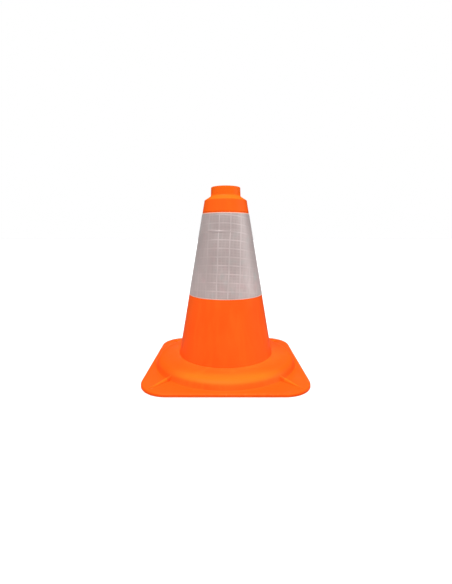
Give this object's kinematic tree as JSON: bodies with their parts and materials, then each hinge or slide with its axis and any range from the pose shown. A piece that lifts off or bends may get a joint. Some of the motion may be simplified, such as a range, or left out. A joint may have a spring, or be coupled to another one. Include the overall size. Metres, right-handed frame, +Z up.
{
  "type": "traffic cone",
  "caption": "Small orange road cone with a square base, a raised collar, diagonal ribs, an open neck and a slip-on silver reflective sleeve.",
  "frame": {"origin": "on the ground, on the cone's axis, at the centre of the square base", "axes": "+Z up along the cone's axis; +X and +Y square to the base's sides; the sleeve's seam is on the +Y side, away from the viewer"},
  "size_m": [0.25, 0.25, 0.3],
  "materials": {
    "orange_pvc": "satin",
    "ballast": "matte",
    "steel": "zinc plated",
    "pad_rubber": "matte",
    "white_pvc": "satin",
    "reflective_film": "satin",
    "seam_tape": "satin"
  },
  "bodies": {
    "cone": {"cone_body": "orange_pvc", "base_shell": "orange_pvc", "ballast_ring": "ballast", "flange_screws": "steel", "screw_washers": "steel", "foot_pad_1": "pad_rubber", "foot_pad_2": "pad_rubber", "foot_pad_3": "pad_rubber", "foot_pad_4": "pad_rubber"},
    "sleeve": {"sleeve_carrier": "white_pvc", "sleeve_film": "reflective_film", "sleeve_seam_tape": "seam_tape"}
  },
  "joints": [
    {"name": "sleeve_lift", "type": "slide", "parent": "cone", "child": "sleeve", "axis": [0, 0, 1], "range_m": [0, 0.2]}
  ]
}
